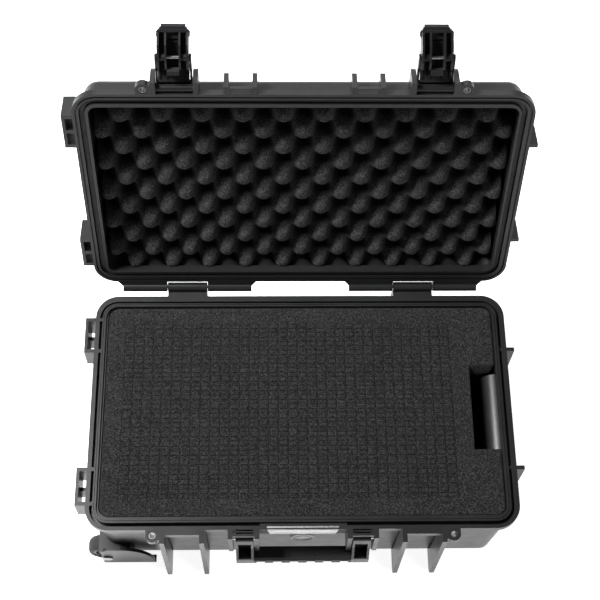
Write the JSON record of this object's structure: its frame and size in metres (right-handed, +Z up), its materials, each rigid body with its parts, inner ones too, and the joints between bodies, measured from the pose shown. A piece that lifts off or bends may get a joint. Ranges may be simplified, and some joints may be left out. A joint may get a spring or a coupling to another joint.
{
  "type": "hard equipment case",
  "caption": "Wheeled hard case, lid open: cubed foam in the base, convoluted foam in the lid, draw latches, folding carry handle and pull-out trolley handle.",
  "frame": {"origin": "middle of the flat underside of the base", "axes": "+Z up, +X along the length towards the pull handle, -X towards the wheels, -Y to the front with latches and carry handle, +Y to the hinges"},
  "size_m": [0.563, 0.5064, 0.5396],
  "materials": {
    "shell_plastic": "matte",
    "fitting_plastic": "satin",
    "handle_plastic": "satin",
    "grip_rubber": "matte",
    "foam_dark": "matte",
    "foam_lid": "matte",
    "seal_rubber": "matte",
    "pin_steel": "satin",
    "plate_silver": "satin",
    "valve_grey": "satin",
    "tube_alu": "satin",
    "wheel_hub": "satin",
    "tyre_rubber": "matte",
    "button_red": "satin"
  },
  "bodies": {
    "base": {"base_shell": "shell_plastic", "foam_bottom_pad": "foam_dark", "foam_cube_block": "foam_dark", "name_plate": "plate_silver", "valve_body": "fitting_plastic", "valve_cap": "valve_grey", "valve_nut": "fitting_plastic", "padlock_bushes_base": "pin_steel", "carry_handle_pins": "pin_steel", "trolley_guide_tubes": "tube_alu", "trolley_cover": "fitting_plastic", "trolley_cover_screws": "pin_steel", "trolley_tube_clamps": "fitting_plastic", "wheel_bracket_front": "fitting_plastic", "wheel_bracket_rear": "fitting_plastic", "wheel_bracket_screws": "pin_steel", "wheel_axle_front": "pin_steel", "wheel_axle_rear": "pin_steel"},
    "lid": {"lid_shell": "shell_plastic", "lid_seal": "seal_rubber", "lid_foam": "foam_lid", "hinge_pin_left": "pin_steel", "hinge_pin_right": "pin_steel", "padlock_bushes_lid": "pin_steel", "latch_pin_left": "pin_steel", "latch_pin_right": "pin_steel"},
    "latch_link_left": {"latch_link_left": "handle_plastic"},
    "latch_link_right": {"latch_link_right": "handle_plastic"},
    "latch_lever_left": {"latch_lever_left": "handle_plastic", "latch_lever_pin_left": "pin_steel"},
    "latch_lever_right": {"latch_lever_right": "handle_plastic", "latch_lever_pin_right": "pin_steel"},
    "carry_handle": {"carry_handle_frame": "handle_plastic", "carry_handle_grip": "grip_rubber"},
    "trolley_mid": {"trolley_mid_tubes": "tube_alu", "trolley_mid_yoke": "fitting_plastic"},
    "trolley_top": {"trolley_inner_tubes": "tube_alu", "trolley_grip": "handle_plastic"},
    "trolley_button": {"trolley_button": "button_red"},
    "wheel_front": {"wheel_hub_front": "wheel_hub", "wheel_tyre_front": "tyre_rubber"},
    "wheel_rear": {"wheel_hub_rear": "wheel_hub", "wheel_tyre_rear": "tyre_rubber"}
  },
  "joints": [
    {"name": "lid_hinge", "type": "hinge", "parent": "base", "child": "lid", "pos_m": [0, 0.1717, 0.168], "axis": [1, 0, 0], "range_deg": [0, 106]},
    {"name": "latch_link_left_pivot", "type": "hinge", "parent": "lid", "child": "latch_link_left", "pos_m": [-0.1495, 0.2676, 0.48973], "axis": [1, 0, 0], "range_deg": [0, 104]},
    {"name": "latch_lever_left_pivot", "type": "hinge", "parent": "latch_link_left", "child": "latch_lever_left", "pos_m": [-0.1495, 0.28783, 0.52077], "axis": [1, 0, 0], "range_deg": [0, 20]},
    {"name": "latch_link_right_pivot", "type": "hinge", "parent": "lid", "child": "latch_link_right", "pos_m": [0.1495, 0.2676, 0.48973], "axis": [1, 0, 0], "range_deg": [0, 104]},
    {"name": "latch_lever_right_pivot", "type": "hinge", "parent": "latch_link_right", "child": "latch_lever_right", "pos_m": [0.1495, 0.28783, 0.52077], "axis": [1, 0, 0], "range_deg": [0, 20]},
    {"name": "carry_handle_pivot", "type": "hinge", "parent": "base", "child": "carry_handle", "pos_m": [0, -0.165, 0.15], "axis": [-1, 0, 0], "range_deg": [0, 90]},
    {"name": "trolley_mid_slide", "type": "slide", "parent": "base", "child": "trolley_mid", "axis": [1, 0, 0], "range_m": [0, 0.25]},
    {"name": "trolley_top_slide", "type": "slide", "parent": "trolley_mid", "child": "trolley_top", "axis": [1, 0, 0], "range_m": [0, 0.25]},
    {"name": "trolley_button_press", "type": "slide", "parent": "trolley_top", "child": "trolley_button", "axis": [-1, 0, 0], "range_m": [0, 0.003], "stiffness_N_per_m": 400},
    {"name": "wheel_front_spin", "type": "hinge", "parent": "base", "child": "wheel_front", "pos_m": [-0.255, -0.142, 0.027], "axis": [0, 1, 0], "continuous": true},
    {"name": "wheel_rear_spin", "type": "hinge", "parent": "base", "child": "wheel_rear", "pos_m": [-0.255, 0.142, 0.027], "axis": [0, 1, 0], "continuous": true}
  ]
}
